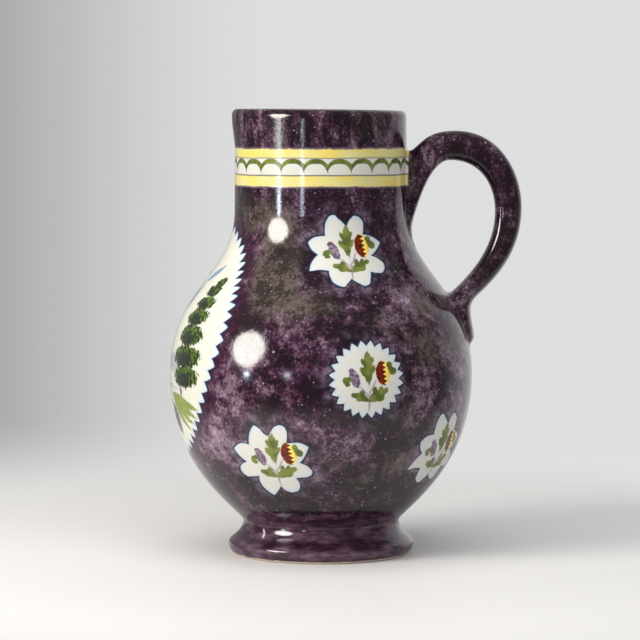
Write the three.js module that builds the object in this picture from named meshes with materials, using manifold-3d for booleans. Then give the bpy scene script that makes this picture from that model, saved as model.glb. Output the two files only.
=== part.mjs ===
// A ceramic jug with a turned foot, a round belly, a straight neck and one loop handle.
// Millimetres, +Z up. The origin is the centre of the underside, on the axis that the jug was
// turned about. The handle stands on the +X side and the small pouring lip on the -X side.
import * as THREE from "three";
import { mergeVertices } from "three/addons/utils/BufferGeometryUtils.js";
import Module from "manifold-3d";

const wasm = await Module();
wasm.setup();

// Vessel, outside
const HEIGHT = 200;
const BASE_RADIUS = 38.0; // edge of the flat underside
const FOOT_RADIUS = 41.8;
const FOOT_HEIGHT = 4.9; // height of the foot's widest line
const BEAD_RADIUS = 40.1; // top edge of the foot's rounded band
const BEAD_RISE = 2.3; // from the widest line to that edge
const THROAT_RADIUS = 35.2; // narrowest line, between foot and belly
const THROAT_RISE = 8.0; // from the bead to the throat
const BELLY_RADIUS = 68.0;
const BELLY_RISE = 65.5; // from the throat to the belly's widest line
const NECK_RADIUS = 38.8; // where the shoulder has become the neck
const SHOULDER_RISE = 74.2; // from the widest line to the neck
const RIM_RADIUS = 38.3;
const LIP_DEPTH = 3.0; // height of the rounded lip

// Vessel, inside
const WALL = 4.8;
const FLOOR_THICKNESS = 9.0;
const FLOOR_FLAT = 0.4; // flat middle of the floor, as a share of the inner foot's radius

// Pouring lip, and the slight fall of the rim toward the handle
const SPOUT_OUT = 1.7;
const SPOUT_DEPTH = 18.0;
const SPOUT_HALF_ANGLE = 24; // degrees
const RIM_FALL = 0.85;
const RIM_FALL_DEPTH = 14.0;

// Handle: an outer and an inner edge in its own plane, and a width across it
const ROOT_BELOW_RIM = 19.9; // where the outer edge meets the neck
const ROOT_SPREAD = 33.6; // how far the root runs down the neck
const ROOT_WIDTH = 15.4;
const CROWN_BELOW_RIM = 9.8;
const CROWN_OUT = 21.4; // from the neck to the highest point
const CROWN_THICKNESS = 13.25;
const CROWN_LEAN = 2.4; // from the highest point in to the inner edge's highest point
const REACH = 51.4; // from the neck to the outermost point
const REACH_BELOW_RIM = 44.0;
const SIDE_THICKNESS = 12.0;
const SIDE_SAG = 2.0; // from the outermost point down to the inner edge's outermost point
const HANDLE_WIDTH = 14.6;
const JOINT_ABOVE_BELLY = 35.7; // where the loop comes down on the shoulder
const JOINT_THICKNESS = 13.5;
const JOINT_WIDTH = 20.0;
const SEAM = 0.2; // how far the edges stand off the body where they meet it

// Tail of the handle, pressed down onto the body below the joint
const TAIL_TOP_DROP = 6.6; // from the joint to where the tail begins
const TAIL_TOP_PROUD = 6.2;
const TAIL_LENGTH = 11.5;
const TAIL_PROUD = 3.2; // thickness at the tail's lower end
const TAIL_WIDTH = 17.0;
const TAIL_TIP = 3.6; // height of the rounded tip

// Fineness of the facets
const TURNED_SIDES = 60;
const HANDLE_SIDES = 16;

const BEAD_Z = FOOT_HEIGHT + BEAD_RISE;
const THROAT_Z = BEAD_Z + THROAT_RISE;
const BELLY_Z = THROAT_Z + BELLY_RISE;
const NECK_Z = BELLY_Z + SHOULDER_RISE;
const LIP_Z = HEIGHT - LIP_DEPTH;

const at = (x, z) => new THREE.Vector2(x, z);
const mix = (a, b, share) => a + (b - a) * share;
const smooth = (x) => {
  const t = Math.min(1, Math.max(0, x));
  return t * t * (3 - 2 * t);
};

// A cubic curve between two points. Each control point lies a share of the way across the
// span: [share of the step in x, share of the step in z].
function span(start, end, leave, arrive) {
  return new THREE.CubicBezierCurve(
    start,
    at(mix(start.x, end.x, leave[0]), mix(start.y, end.y, leave[1])),
    at(mix(start.x, end.x, arrive[0]), mix(start.y, end.y, arrive[1])),
    end,
  );
}

// Outline of the turned vessel, from the underside up to the lip
const base = at(BASE_RADIUS, 0);
const foot = at(FOOT_RADIUS, FOOT_HEIGHT);
const bead = at(BEAD_RADIUS, BEAD_Z);
const throat = at(THROAT_RADIUS, THROAT_Z);
const belly = at(BELLY_RADIUS, BELLY_Z);
const neck = at(NECK_RADIUS, NECK_Z);
const rim = at(RIM_RADIUS, LIP_Z);

const footSide = span(base, foot, [0.6, 0], [1, 0.3]);
const footBead = span(foot, bead, [0, 0.5], [0.76, 0.74]);
const cove = span(bead, throat, [0.588, 0.255], [1, 0.572]);
const lowerBelly = span(throat, belly, [0.134, 0.101], [1, 0.365]);
const shoulder = span(belly, neck, [0, 0.542], [1, 0.595]);
const neckSide = span(neck, rim, [0, 0.33], [1, 0.67]);

// Points along a curve after its first one, moved inward from the face by a depth.
function trace(curve, count, from = 0, to = 1, depth = 0) {
  const points = [];
  for (let i = 1; i <= count; i++) {
    const t = mix(from, to, i / count);
    const along = curve.getTangent(t);
    points.push(curve.getPoint(t).add(at(-along.y, along.x).multiplyScalar(depth)));
  }
  return points;
}

// Rounded lip: half an ellipse from the outer face over to the inner one.
function lipArc(count) {
  const points = [];
  for (let i = 1; i <= count; i++) {
    const angle = (Math.PI * i) / count;
    const out = (WALL / 2) * (Math.cos(angle) - 1);
    points.push(at(RIM_RADIUS + out, LIP_Z + LIP_DEPTH * Math.sin(angle)));
  }
  return points;
}

// The floor rises into the inner wall a little way up the lower belly.
const INNER_START = 0.22;
const innerFoot = trace(lowerBelly, 1, 0, INNER_START, WALL)[0];
const innerRise = lowerBelly.getTangent(INNER_START);
const floorFlat = at(innerFoot.x * FLOOR_FLAT, FLOOR_THICKNESS);
const floorPull = (innerFoot.y - FLOOR_THICKNESS) * 0.6;
const floorCurve = new THREE.CubicBezierCurve(
  floorFlat,
  at(mix(floorFlat.x, innerFoot.x, 0.55), FLOOR_THICKNESS),
  innerFoot.clone().addScaledVector(innerRise, -floorPull),
  innerFoot,
);

const outside = [
  at(0, 0),
  base,
  ...trace(footSide, 4),
  ...trace(footBead, 2),
  ...trace(cove, 4),
  ...trace(lowerBelly, 9),
  ...trace(shoulder, 12),
  ...trace(neckSide, 5),
];
const inside = [
  ...trace(neckSide, 4, 1, 0, WALL),
  ...trace(shoulder, 8, 1, 0, WALL),
  ...trace(lowerBelly, 6, 1, INNER_START, WALL),
  ...trace(floorCurve, 4, 1, 0),
  at(0, FLOOR_THICKNESS),
];

// The turned outline's face as fine points, to find its radius at a height.
const face = [lowerBelly, shoulder, neckSide].flatMap((curve) => trace(curve, 80));

function radiusAt(z) {
  const i = face.findIndex((p) => p.y >= z);
  if (i < 1) return i === 0 ? face[0].x : RIM_RADIUS;
  const share = (z - face[i - 1].y) / (face[i].y - face[i - 1].y);
  return mix(face[i - 1].x, face[i].x, share);
}

function turned(points) {
  return new THREE.LatheGeometry(points, TURNED_SIDES).rotateX(Math.PI / 2);
}

// Draws the upper neck out into the pouring lip and lets the rim fall toward the handle.
function shapeRim(geometry) {
  const position = geometry.getAttribute("position");
  for (let i = 0; i < position.count; i++) {
    const x = position.getX(i);
    const y = position.getY(i);
    const z = position.getZ(i);
    const radius = Math.hypot(x, y);
    if (radius < WALL / 4) continue;
    const away = THREE.MathUtils.radToDeg(Math.atan2(Math.abs(y), -x)) / SPOUT_HALF_ANGLE;
    const rise = smooth((z - LIP_Z + SPOUT_DEPTH) / SPOUT_DEPTH);
    const out = 1 + (SPOUT_OUT * Math.exp(-away * away) * rise) / radius;
    const fall = RIM_FALL * smooth((z - LIP_Z + RIM_FALL_DEPTH) / RIM_FALL_DEPTH);
    position.setXYZ(i, x * out, y * out, z - (fall * (1 + x / radius)) / 2);
  }
  return geometry;
}

function solidOf(geometry) {
  geometry.deleteAttribute("normal");
  geometry.deleteAttribute("uv");
  const merged = mergeVertices(geometry, 1e-3);
  return new wasm.Manifold(
    new wasm.Mesh({
      numProp: 3,
      vertProperties: merged.getAttribute("position").array,
      triVerts: new Uint32Array(merged.index.array),
    }),
  );
}

function geometryOf(solid) {
  const mesh = solid.getMesh();
  const geometry = new THREE.BufferGeometry();
  geometry.setAttribute("position", new THREE.BufferAttribute(mesh.vertProperties, 3));
  geometry.setIndex(new THREE.BufferAttribute(mesh.triVerts, 1));
  geometry.computeVertexNormals();
  return geometry;
}

const vessel = solidOf(shapeRim(turned([...outside, ...lipArc(6), ...inside])));

// The space inside, closed off above the rim, keeps the handle's ends out of the hollow.
const hollow = solidOf(
  turned([
    ...inside.slice().reverse(),
    at(RIM_RADIUS - WALL, LIP_Z),
    at(RIM_RADIUS - WALL, HEIGHT + LIP_DEPTH),
    at(0, HEIGHT + LIP_DEPTH),
  ]),
);

// The handle's edges. Both start and end inside the wall, so that the handle grows out of it.
const buried = WALL / 2;
const rootZ = HEIGHT - ROOT_BELOW_RIM;
const rootLowZ = rootZ - ROOT_SPREAD;
const crownX = NECK_RADIUS + CROWN_OUT;
const crownZ = HEIGHT - CROWN_BELOW_RIM;
const reachX = NECK_RADIUS + REACH;
const reachZ = HEIGHT - REACH_BELOW_RIM;
const jointZ = BELLY_Z + JOINT_ABOVE_BELLY;
const tailTopZ = jointZ - TAIL_TOP_DROP;
const tailLowZ = tailTopZ - TAIL_LENGTH;
const tipZ = tailLowZ - TAIL_TIP;

const outerEdge = {
  start: at(NECK_RADIUS - buried, rootZ - buried / 2),
  root: at(radiusAt(rootZ) + SEAM, rootZ),
  crown: at(crownX, crownZ),
  side: at(reachX, reachZ),
  joint: at(radiusAt(jointZ) + JOINT_THICKNESS, jointZ),
  tailTop: at(radiusAt(tailTopZ) + TAIL_TOP_PROUD, tailTopZ),
  tailLow: at(radiusAt(tailLowZ) + TAIL_PROUD, tailLowZ),
  tip: at(radiusAt(tipZ), tipZ),
};
const innerEdge = {
  start: at(radiusAt(rootLowZ - 3 * buried) - buried, rootLowZ - 3 * buried),
  root: at(radiusAt(rootLowZ) + 3 * SEAM, rootLowZ),
  crown: at(crownX - CROWN_LEAN, crownZ - CROWN_THICKNESS),
  side: at(reachX - SIDE_THICKNESS, reachZ - SIDE_SAG),
  joint: at(radiusAt(jointZ) + SEAM / 2, jointZ),
  tailTop: at(radiusAt(tailTopZ) - buried, tailTopZ),
  tailLow: at(radiusAt(tailLowZ) - buried, tailLowZ),
  tip: at(radiusAt(tipZ) - buried, tipZ),
};

// Each stretch of the handle: its two edges, its width at both ends and its count of steps.
const { start: o0, root: o1, crown: o2, side: o3, joint: o4 } = outerEdge;
const { tailTop: o5, tailLow: o6, tip: o7 } = outerEdge;
const { start: i0, root: i1, crown: i2, side: i3, joint: i4 } = innerEdge;
const { tailTop: i5, tailLow: i6, tip: i7 } = innerEdge;
const straight = [1 / 3, 1 / 3];
const straightEnd = [2 / 3, 2 / 3];
const stretches = [
  {
    outer: span(o0, o1, straight, straightEnd),
    inner: span(i0, i1, straight, straightEnd),
    widths: [ROOT_WIDTH, ROOT_WIDTH],
    steps: 1,
  },
  {
    outer: span(o1, o2, [0.306, 0.358], [0.355, 1]),
    inner: span(i1, i2, [0.192, 0.384], [0.51, 1]),
    widths: [ROOT_WIDTH, HANDLE_WIDTH],
    steps: 10,
  },
  {
    outer: span(o2, o3, [0.715, 0], [1, 0.596]),
    inner: span(i2, i3, [0.668, 0], [1, 0.486]),
    widths: [HANDLE_WIDTH, HANDLE_WIDTH],
    steps: 12,
  },
  {
    outer: span(o3, o4, [0, 0.471], [0.469, 0.759]),
    inner: span(i3, i4, [0, 0.438], [0.52, 0.77]),
    widths: [HANDLE_WIDTH, JOINT_WIDTH],
    steps: 12,
  },
  {
    outer: span(o4, o5, [0.667, 0.31], [1, 0.6]),
    inner: span(i4, i5, straight, straightEnd),
    widths: [JOINT_WIDTH, JOINT_WIDTH],
    steps: 4,
  },
  {
    outer: span(o5, o6, [0, 0.33], [0.8, 0.66]),
    inner: span(i5, i6, straight, straightEnd),
    widths: [JOINT_WIDTH, TAIL_WIDTH],
    steps: 4,
  },
];

const sections = [{ outer: o0, inner: i0, width: ROOT_WIDTH }];
for (const { outer, inner, widths, steps } of stretches) {
  for (let i = 1; i <= steps; i++) {
    const t = i / steps;
    const width = mix(widths[0], widths[1], smooth(t));
    sections.push({ outer: outer.getPoint(t), inner: inner.getPoint(t), width });
  }
}

// The rounded tip: a quarter of an ellipse, seen from the side and from the front.
const TIP_STEPS = 4;
for (let i = 1; i <= TIP_STEPS; i++) {
  const t = Math.sin((Math.PI / 2) * (i / (TIP_STEPS + 0.35)));
  const left = Math.sqrt(1 - t * t);
  const inner = i6.clone().lerp(i7, t);
  const proud = mix(radiusAt(inner.y), radiusAt(inner.y) + TAIL_PROUD, left);
  sections.push({ outer: at(proud, inner.y), inner, width: TAIL_WIDTH * left });
}

// The handle's section is round toward the outer edge and flatter toward the inner one.
const OUTER_ROUNDNESS = 2.0;
const INNER_ROUNDNESS = 3.2;
const LAST = sections.length - 1;
const handleGeometry = new THREE.CylinderGeometry(1, 1, 1, HANDLE_SIDES, LAST);
const spot = handleGeometry.getAttribute("position");
for (let i = 0; i < spot.count; i++) {
  const section = sections[Math.round((0.5 - spot.getY(i)) * LAST)];
  const reach = Math.hypot(spot.getX(i), spot.getZ(i));
  const out = reach ? spot.getX(i) / reach : 0;
  const across = reach ? spot.getZ(i) / reach : 0;
  const power = out < 0 ? INNER_ROUNDNESS : OUTER_ROUNDNESS;
  const size = Math.abs(out) ** power + Math.abs(across) ** power;
  const scale = reach > 0.5 ? size ** (-1 / power) : 0;
  const middle = section.outer.clone().add(section.inner).multiplyScalar(0.5);
  const half = section.outer.clone().sub(section.inner).multiplyScalar(0.5);
  middle.addScaledVector(half, out * scale);
  spot.setXYZ(i, middle.x, (-across * scale * section.width) / 2, middle.y);
}
const handle = solidOf(handleGeometry);

const glaze = new THREE.MeshStandardMaterial({
  name: "glaze",
  color: 0x4a3548,
  roughness: 0.12,
  metalness: 0,
});
const jug = new THREE.Mesh(geometryOf(vessel.add(handle.subtract(hollow))), glaze);
jug.name = "jug";

const part = new THREE.Group();
part.name = "ceramic jug";
part.add(jug);

export default part;
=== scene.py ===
"""A ceramic jug with a purple sponged glaze and painted white reserves.

Sizes are millimetres in the classes and metres in the meshes. +Z is up, the jug stands on
z = 0 on its turning axis, the handle is on the +X side and the pouring lip on the -X side.
"""

import logging
import math
from dataclasses import dataclass, field, replace
from enum import Enum
from typing import Callable, Optional, Sequence, Union

import bpy
import numpy as np
from mathutils import Euler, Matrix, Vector
from mathutils.bvhtree import BVHTree

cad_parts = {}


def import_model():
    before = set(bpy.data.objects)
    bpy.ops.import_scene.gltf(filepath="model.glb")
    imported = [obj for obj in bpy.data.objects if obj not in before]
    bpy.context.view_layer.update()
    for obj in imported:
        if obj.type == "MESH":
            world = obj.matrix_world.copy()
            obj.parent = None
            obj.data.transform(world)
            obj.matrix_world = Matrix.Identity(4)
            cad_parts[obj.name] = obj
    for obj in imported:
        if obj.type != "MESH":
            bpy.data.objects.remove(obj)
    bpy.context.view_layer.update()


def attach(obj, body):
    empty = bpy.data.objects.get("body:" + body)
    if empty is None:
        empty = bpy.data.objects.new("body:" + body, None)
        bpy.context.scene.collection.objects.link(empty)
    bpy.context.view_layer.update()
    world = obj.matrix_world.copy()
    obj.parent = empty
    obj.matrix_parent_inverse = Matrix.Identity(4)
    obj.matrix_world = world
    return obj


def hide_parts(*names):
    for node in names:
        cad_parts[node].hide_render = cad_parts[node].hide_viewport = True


log = logging.getLogger("jug")
MM = 0.001
Number = Union[int, float]


# Node sheets and their arithmetic


def operator(operation: str, swapped: bool = False) -> Callable[["Term", "Value"], "Term"]:
    """Makes a method that puts a term and another value into a Math node.

    Args:
        operation: The node's operation.
        swapped: Whether the other value comes first.

    Returns:
        The method.
    """

    def apply(self: "Term", other: "Value") -> "Term":
        """The term and the other value, combined."""
        pair = (other, self) if swapped else (self, other)
        return self.sheet.math(operation, *pair)

    return apply


@dataclass(frozen=True)
class Term:
    """One output of a node, which takes part in plain arithmetic."""

    sheet: "Sheet"
    out: bpy.types.NodeSocket

    __add__ = __radd__ = operator("ADD")
    __sub__ = operator("SUBTRACT")
    __rsub__ = operator("SUBTRACT", swapped=True)
    __mul__ = __rmul__ = operator("MULTIPLY")
    __truediv__ = operator("DIVIDE")
    __rtruediv__ = operator("DIVIDE", swapped=True)
    __pow__ = operator("POWER")
    __lt__ = operator("LESS_THAN")
    __gt__ = operator("GREATER_THAN")
    low = operator("MINIMUM")
    high = operator("MAXIMUM")

    def __neg__(self) -> "Term":
        """Minus this."""
        return self.sheet.math("MULTIPLY", self, -1.0)

    def __abs__(self) -> "Term":
        """This without its sign."""
        return self.sheet.math("ABSOLUTE", self)

    def step(self, start: "Value", end: "Value") -> "Term":
        """Zero up to start and one from end on, with a smooth rise between."""
        return self.sheet.ramp(self, start, end)

    def inside(self, soft: Number) -> "Term":
        """One where this distance is below zero, with an edge as wide as soft."""
        return self.sheet.ramp(self, soft / 2, -soft / 2, smooth=False)


Value = Union[Term, int, float]
Colour = Union[Term, "Ink", Sequence[float]]


class Sheet:
    """A node tree that is written as expressions."""

    def __init__(self, tree: bpy.types.NodeTree) -> None:
        """Empties the tree and keeps it."""
        self.tree = tree
        tree.nodes.clear()

    def node(
        self, kind: str, settings: Optional[dict] = None, values: Optional[dict] = None
    ) -> bpy.types.Node:
        """Adds a node.

        Args:
            kind: The node's type.
            settings: Its properties, set first.
            values: Its inputs by name or number, as numbers, colours or terms.

        Returns:
            The new node.
        """
        made = self.tree.nodes.new(kind)
        for name, value in (settings or {}).items():
            setattr(made, name, value)
        for name, value in (values or {}).items():
            socket = made.inputs[name]
            if isinstance(value, Term):
                self.tree.links.new(value.out, socket)
            elif isinstance(value, bpy.types.NodeSocket):
                self.tree.links.new(value, socket)
            elif value is not None:
                socket.default_value = value
        return made

    def term(self, kind: str, out: Union[str, int], **parts: dict) -> Term:
        """One output of a new node, as a term."""
        made = self.node(kind, parts.get("settings"), parts.get("values"))
        return Term(self, made.outputs[out])

    def math(self, operation: str, *values: Value) -> Term:
        """A Math node on one to three values."""
        parts = dict(enumerate(values))
        made = self.node("ShaderNodeMath", {"operation": operation}, parts)
        return Term(self, made.outputs[0])

    def ramp(self, value: Value, start: Value, end: Value, smooth: bool = True) -> Term:
        """Maps start to zero and end to one, and holds outside them.

        Args:
            value: What is mapped.
            start: Where the result is zero.
            end: Where it is one.
            smooth: Whether both ends are eased.

        Returns:
            The result, 0 to 1.
        """
        settings = {"interpolation_type": "SMOOTHSTEP" if smooth else "LINEAR"}
        values = {"Value": value, "From Min": start, "From Max": end}
        return self.term("ShaderNodeMapRange", "Result", settings=settings, values=values)

    def length(self, a: Value, b: Value) -> Term:
        """The length of a flat vector."""
        return self.math("SQRT", self.math("MULTIPLY_ADD", a, a, b * b))

    def blend(self, share: Value, a: Colour, b: Colour) -> Term:
        """Colour a where share is zero, b where it is one."""
        settings = {"data_type": "RGBA", "clamp_factor": True}
        values = {0: share, 6: full(a), 7: full(b)}
        return self.term("ShaderNodeMix", 2, settings=settings, values=values)

    def vector(self, x: Value, y: Value, z: Value) -> Term:
        """Three values as a vector."""
        values = {"X": x, "Y": y, "Z": z}
        return self.term("ShaderNodeCombineXYZ", 0, values=values)

    def split(self, vector: Term) -> tuple[Term, Term, Term]:
        """The three parts of a vector."""
        made = self.node("ShaderNodeSeparateXYZ", None, {0: vector})
        return tuple(Term(self, out) for out in made.outputs)

    def scaled(self, vector: Term, factor: Number) -> Term:
        """A vector times a number."""
        settings, values = {"operation": "SCALE"}, {"Vector": vector, "Scale": factor}
        return self.term("ShaderNodeVectorMath", 0, settings=settings, values=values)

    def curve(self, value: Value, rows: Sequence[tuple[float, float, str]]) -> Term:
        """A value sent through a drawn curve.

        Args:
            value: The value, 0 to 1.
            rows: The curve's points, each as place, height and kind of handle.

        Returns:
            The curve's height there.
        """
        made = self.node("ShaderNodeFloatCurve", None, {"Value": value})
        curve = made.mapping.curves[0]
        while len(curve.points) < len(rows):
            curve.points.new(0.5, 0.5)
        for point, (at, height, kind) in zip(curve.points, rows):
            point.location = (at, height)
            point.handle_type = kind
        made.mapping.update()
        return Term(self, made.outputs[0])

    def noise(
        self,
        place: Term,
        size: Number,
        detail: Number = 2.0,
        rough: Number = 0.5,
        warp: Number = 0.0,
        offset: Number = 0.0,
    ) -> Term:
        """Soft noise with features about as wide as size.

        Args:
            place: Where it is read.
            size: The width of its features.
            detail: How many finer layers it has.
            rough: How strong those are.
            warp: How far it twists itself.
            offset: A shift that gives another pattern.

        Returns:
            The noise, about 0 to 1.
        """
        if offset:
            values = {0: place, 1: (offset, offset * 0.7, -offset)}
            settings = {"operation": "ADD"}
            place = self.term("ShaderNodeVectorMath", 0, settings=settings, values=values)
        values = {
            "Vector": place,
            "Scale": 1.0 / size,
            "Detail": detail,
            "Roughness": rough,
            "Distortion": warp,
        }
        return self.term("ShaderNodeTexNoise", 0, values=values)

    def cells(self, place: Term, scale: Number) -> tuple[Term, Term]:
        """The distance to the nearest cell's middle, and that cell's random colour."""
        made = self.node("ShaderNodeTexVoronoi", None, {"Vector": place, "Scale": scale})
        return Term(self, made.outputs["Distance"]), Term(self, made.outputs["Color"])


def full(colour: Colour) -> Union[Term, tuple]:
    """A colour with its fourth part, or the term itself."""
    if isinstance(colour, Term):
        return colour
    return tuple(colour.colour if isinstance(colour, Enum) else colour) + (1.0,)


def srgb(red: int, green: int, blue: int) -> tuple[float, float, float]:
    """A screen colour, 0 to 255, as scene values."""
    parts = (c / 255 for c in (red, green, blue))
    return tuple(c / 12.92 if c < 0.04045 else ((c + 0.055) / 1.055) ** 2.4 for c in parts)


# Outlines


def cubic(points: Sequence[Sequence[float]], count: int) -> np.ndarray:
    """Points of a cubic curve after its first one.

    Args:
        points: Its four control points.
        count: How many points.

    Returns:
        The points, one a row.
    """
    a, b, c, d = (np.array(p, float) for p in points)
    t = np.linspace(0, 1, count + 1)[1:, None]
    s = 1 - t
    return s**3 * a + 3 * s * s * t * b + 3 * s * t * t * c + t**3 * d


def span(
    start: Sequence[float], end: Sequence[float], leave: Sequence[float],
    arrive: Sequence[float], count: int,
) -> np.ndarray:
    """A cubic curve whose control points lie a share of the way across each step.

    Args:
        start: Its first point.
        end: Its last point.
        leave: The share, each way, of the first control point.
        arrive: The share of the second.
        count: How many points.

    Returns:
        The points after the first, one a row.
    """
    a, d = np.array(start, float), np.array(end, float)
    b, c = a + (d - a) * np.array(leave), a + (d - a) * np.array(arrive)
    return cubic((a, b, c, d), count)


def rise(x: np.ndarray) -> np.ndarray:
    """Zero to one with smooth ends."""
    t = np.clip(x, 0, 1)
    return t * t * (3 - 2 * t)


def inward(points: np.ndarray, depth: float) -> np.ndarray:
    """Points moved to the left of their direction of travel.

    Args:
        points: The line, one point a row.
        depth: How far.

    Returns:
        The moved points.
    """
    along = np.gradient(points, axis=0)
    along /= np.linalg.norm(along, axis=1)[:, None]
    return points + depth * np.c_[-along[:, 1], along[:, 0]]


@dataclass
class Outline:
    """The turned outline of the vessel, as radius and height."""

    height: float = 200.0
    base_radius: float = 38.0
    foot: tuple[float, float] = (41.8, 4.9)
    bead: tuple[float, float] = (40.1, 7.2)
    throat: tuple[float, float] = (35.2, 15.2)
    belly: tuple[float, float] = (68.0, 80.7)
    neck: tuple[float, float] = (38.8, 154.9)
    rim_radius: float = 38.3
    lip_depth: float = 3.0
    wall: float = 4.8
    floor: float = 9.0
    face: np.ndarray = field(init=False)
    whole: np.ndarray = field(init=False)
    arc: np.ndarray = field(init=False)

    def __post_init__(self) -> None:
        """Works the outline out from its sizes."""
        rim = (self.rim_radius, self.height - self.lip_depth)
        start = [(0, 0), (self.base_radius * 0.6, 0), (self.base_radius, 0)]
        low = span(self.throat, self.belly, (0.134, 0.101), (1, 0.365), 56)
        high = span(self.belly, self.neck, (0, 0.542), (1, 0.595), 92)
        side = span(self.neck, rim, (0, 0.33), (1, 0.67), 40)
        base = (self.base_radius, 0)
        self.face = np.vstack(
            [
                start,
                span(base, self.foot, (0.6, 0), (1, 0.3), 12),
                span(self.foot, self.bead, (0, 0.5), (0.76, 0.74), 6),
                span(self.bead, self.throat, (0.588, 0.255), (1, 0.572), 18),
                low,
                high,
                side,
            ]
        )
        turn = np.linspace(0, math.pi, 15)[1:, None]
        half = self.wall / 2
        lip = np.hstack(
            [
                rim[0] - half + half * np.cos(turn),
                rim[1] + self.lip_depth * np.sin(turn),
            ]
        )
        middle = np.vstack([[self.throat], low, high, side])
        inner = inward(middle, self.wall)[::-1]
        keep = inner[:, 1] > 25.0
        inner = inner[keep][3:-1:3]
        last, step = inner[-1], inner[-1] - inner[-2]
        pull = step / np.linalg.norm(step) * (last[1] - self.floor) * 0.6
        flat = np.array((last[0] * 0.4, self.floor))
        bend = np.array((last[0] * 0.73, self.floor))
        bowl = cubic((last, last + pull, bend, flat), 14)
        end = [(flat[0] * 0.5, self.floor), (0, self.floor)]
        self.whole = np.vstack([self.face, lip, inner, bowl, end])
        steps = np.linalg.norm(np.diff(self.whole[2:], axis=0), axis=1)
        self.arc = np.r_[[0, 0, 0], np.cumsum(steps)]

    @property
    def lip_arc(self) -> float:
        """The length along the outline from the foot's lower edge to the lip's top."""
        return float(self.arc[len(self.face) + 7])

    def radius_at(self, z: Union[float, np.ndarray]) -> Union[float, np.ndarray]:
        """The outer radius at a height above the throat."""
        body = self.face[self.face[:, 1] >= self.throat[1]]
        return np.interp(z, body[:, 1], body[:, 0])


@dataclass
class HandleLine:
    """The handle's outer and inner edges in its own plane, and its width."""

    outline: Outline
    root_z: float = 180.1
    root_spread: float = 33.6
    root_width: float = 15.4
    crown: tuple[float, float] = (60.2, 190.2)
    crown_thickness: float = 13.25
    side: tuple[float, float] = (90.2, 156.0)
    side_thickness: float = 12.0
    width: float = 14.6
    joint_z: float = 116.4
    joint_thickness: float = 13.5
    joint_width: float = 20.0
    tail_top_z: float = 109.8
    tail_top_proud: float = 6.2
    tail_low_z: float = 98.3
    tail_proud: float = 3.2
    tail_width: float = 17.0
    tip: float = 3.6
    stations: np.ndarray = field(init=False)

    def __post_init__(self) -> None:
        """Lays the stations from the root on the neck to the tail's tip.

        Each row is the outer edge's x and z, the inner edge's x and z, and the width.
        """
        radius, buried = self.outline.radius_at, self.outline.wall / 2
        low = self.root_z - self.root_spread
        neck, deep = self.outline.neck[0], low - 3 * buried
        line = (1 / 3, 1 / 3), (2 / 3, 2 / 3)
        outer = [
            (neck - buried, self.root_z - buried / 2),
            (radius(self.root_z) + 0.2, self.root_z),
            self.crown,
            self.side,
            (radius(self.joint_z) + self.joint_thickness, self.joint_z),
            (radius(self.tail_top_z) + self.tail_top_proud, self.tail_top_z),
            (radius(self.tail_low_z) + self.tail_proud, self.tail_low_z),
        ]
        inner = [
            (radius(deep) - buried, deep),
            (radius(low) + 0.6, low),
            (self.crown[0] - 2.4, self.crown[1] - self.crown_thickness),
            (self.side[0] - self.side_thickness, self.side[1] - 2.0),
            (radius(self.joint_z) + 0.1, self.joint_z),
            (radius(self.tail_top_z) - buried, self.tail_top_z),
            (radius(self.tail_low_z) - buried, self.tail_low_z),
        ]
        outer_bends = [
            line,
            ((0.306, 0.358), (0.355, 1)),
            ((0.715, 0), (1, 0.596)),
            ((0, 0.471), (0.469, 0.759)),
            ((0.667, 0.31), (1, 0.6)),
            ((0, 0.33), (0.8, 0.66)),
        ]
        inner_bends = [
            line,
            ((0.192, 0.384), (0.51, 1)),
            ((0.668, 0), (1, 0.486)),
            ((0, 0.438), (0.52, 0.77)),
            line,
            line,
        ]
        widths = [
            self.root_width,
            self.root_width,
            self.width,
            self.width,
            self.joint_width,
            self.joint_width,
            self.tail_width,
        ]
        counts = [3, 34, 36, 40, 10, 14]
        first = (np.array(outer[0]) + inner[0]) / 2
        rows = [np.r_[first, first, 0][None], np.r_[outer[0], inner[0], widths[0]][None]]
        for i, count in enumerate(counts):
            a = span(outer[i], outer[i + 1], *outer_bends[i], count)
            b = span(inner[i], inner[i + 1], *inner_bends[i], count)
            share = rise(np.linspace(0, 1, count + 1)[1:])
            across = widths[i] + (widths[i + 1] - widths[i]) * share
            rows.append(np.c_[a, b, across])
        t = np.sin(np.linspace(0, math.pi / 2, 11)[1:])[:, None]
        left = np.sqrt(np.maximum(1 - t * t, 0))
        z = self.tail_low_z - self.tip * t
        skin = radius(z)
        cap = np.hstack(
            [
                skin + (self.tail_proud + buried) * left - buried,
                z,
                skin - buried,
                z,
                self.tail_width * left,
            ]
        )
        rows.append(cap)
        self.stations = np.vstack(rows)


# The clay form


def plain_mesh(name: str, points: np.ndarray) -> bpy.types.Mesh:
    """A mesh of loose points in metres.

    Args:
        name: Its name.
        points: The points, one a row.

    Returns:
        The mesh.
    """
    mesh = bpy.data.meshes.new(name)
    mesh.from_pydata([tuple(p) for p in points], [], [])
    return mesh


def give(mesh: bpy.types.Mesh, name: str, values: np.ndarray, kind: str = "FLOAT") -> None:
    """Stores one value, or one vector, for each point of a mesh.

    Args:
        mesh: The mesh.
        name: The attribute's name.
        values: One row for each point.
        kind: The attribute's type.
    """
    store = mesh.attributes.new(name, kind, "POINT")
    key = "vector" if kind == "FLOAT_VECTOR" else "value"
    store.data.foreach_set(key, np.asarray(values, np.float32).ravel())


def places(mesh: bpy.types.Mesh) -> np.ndarray:
    """The places of a mesh's points in millimetres, one a row."""
    flat = np.empty(len(mesh.vertices) * 3, np.float32)
    mesh.vertices.foreach_get("co", flat)
    return flat.reshape(-1, 3).astype(float) / MM


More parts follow.
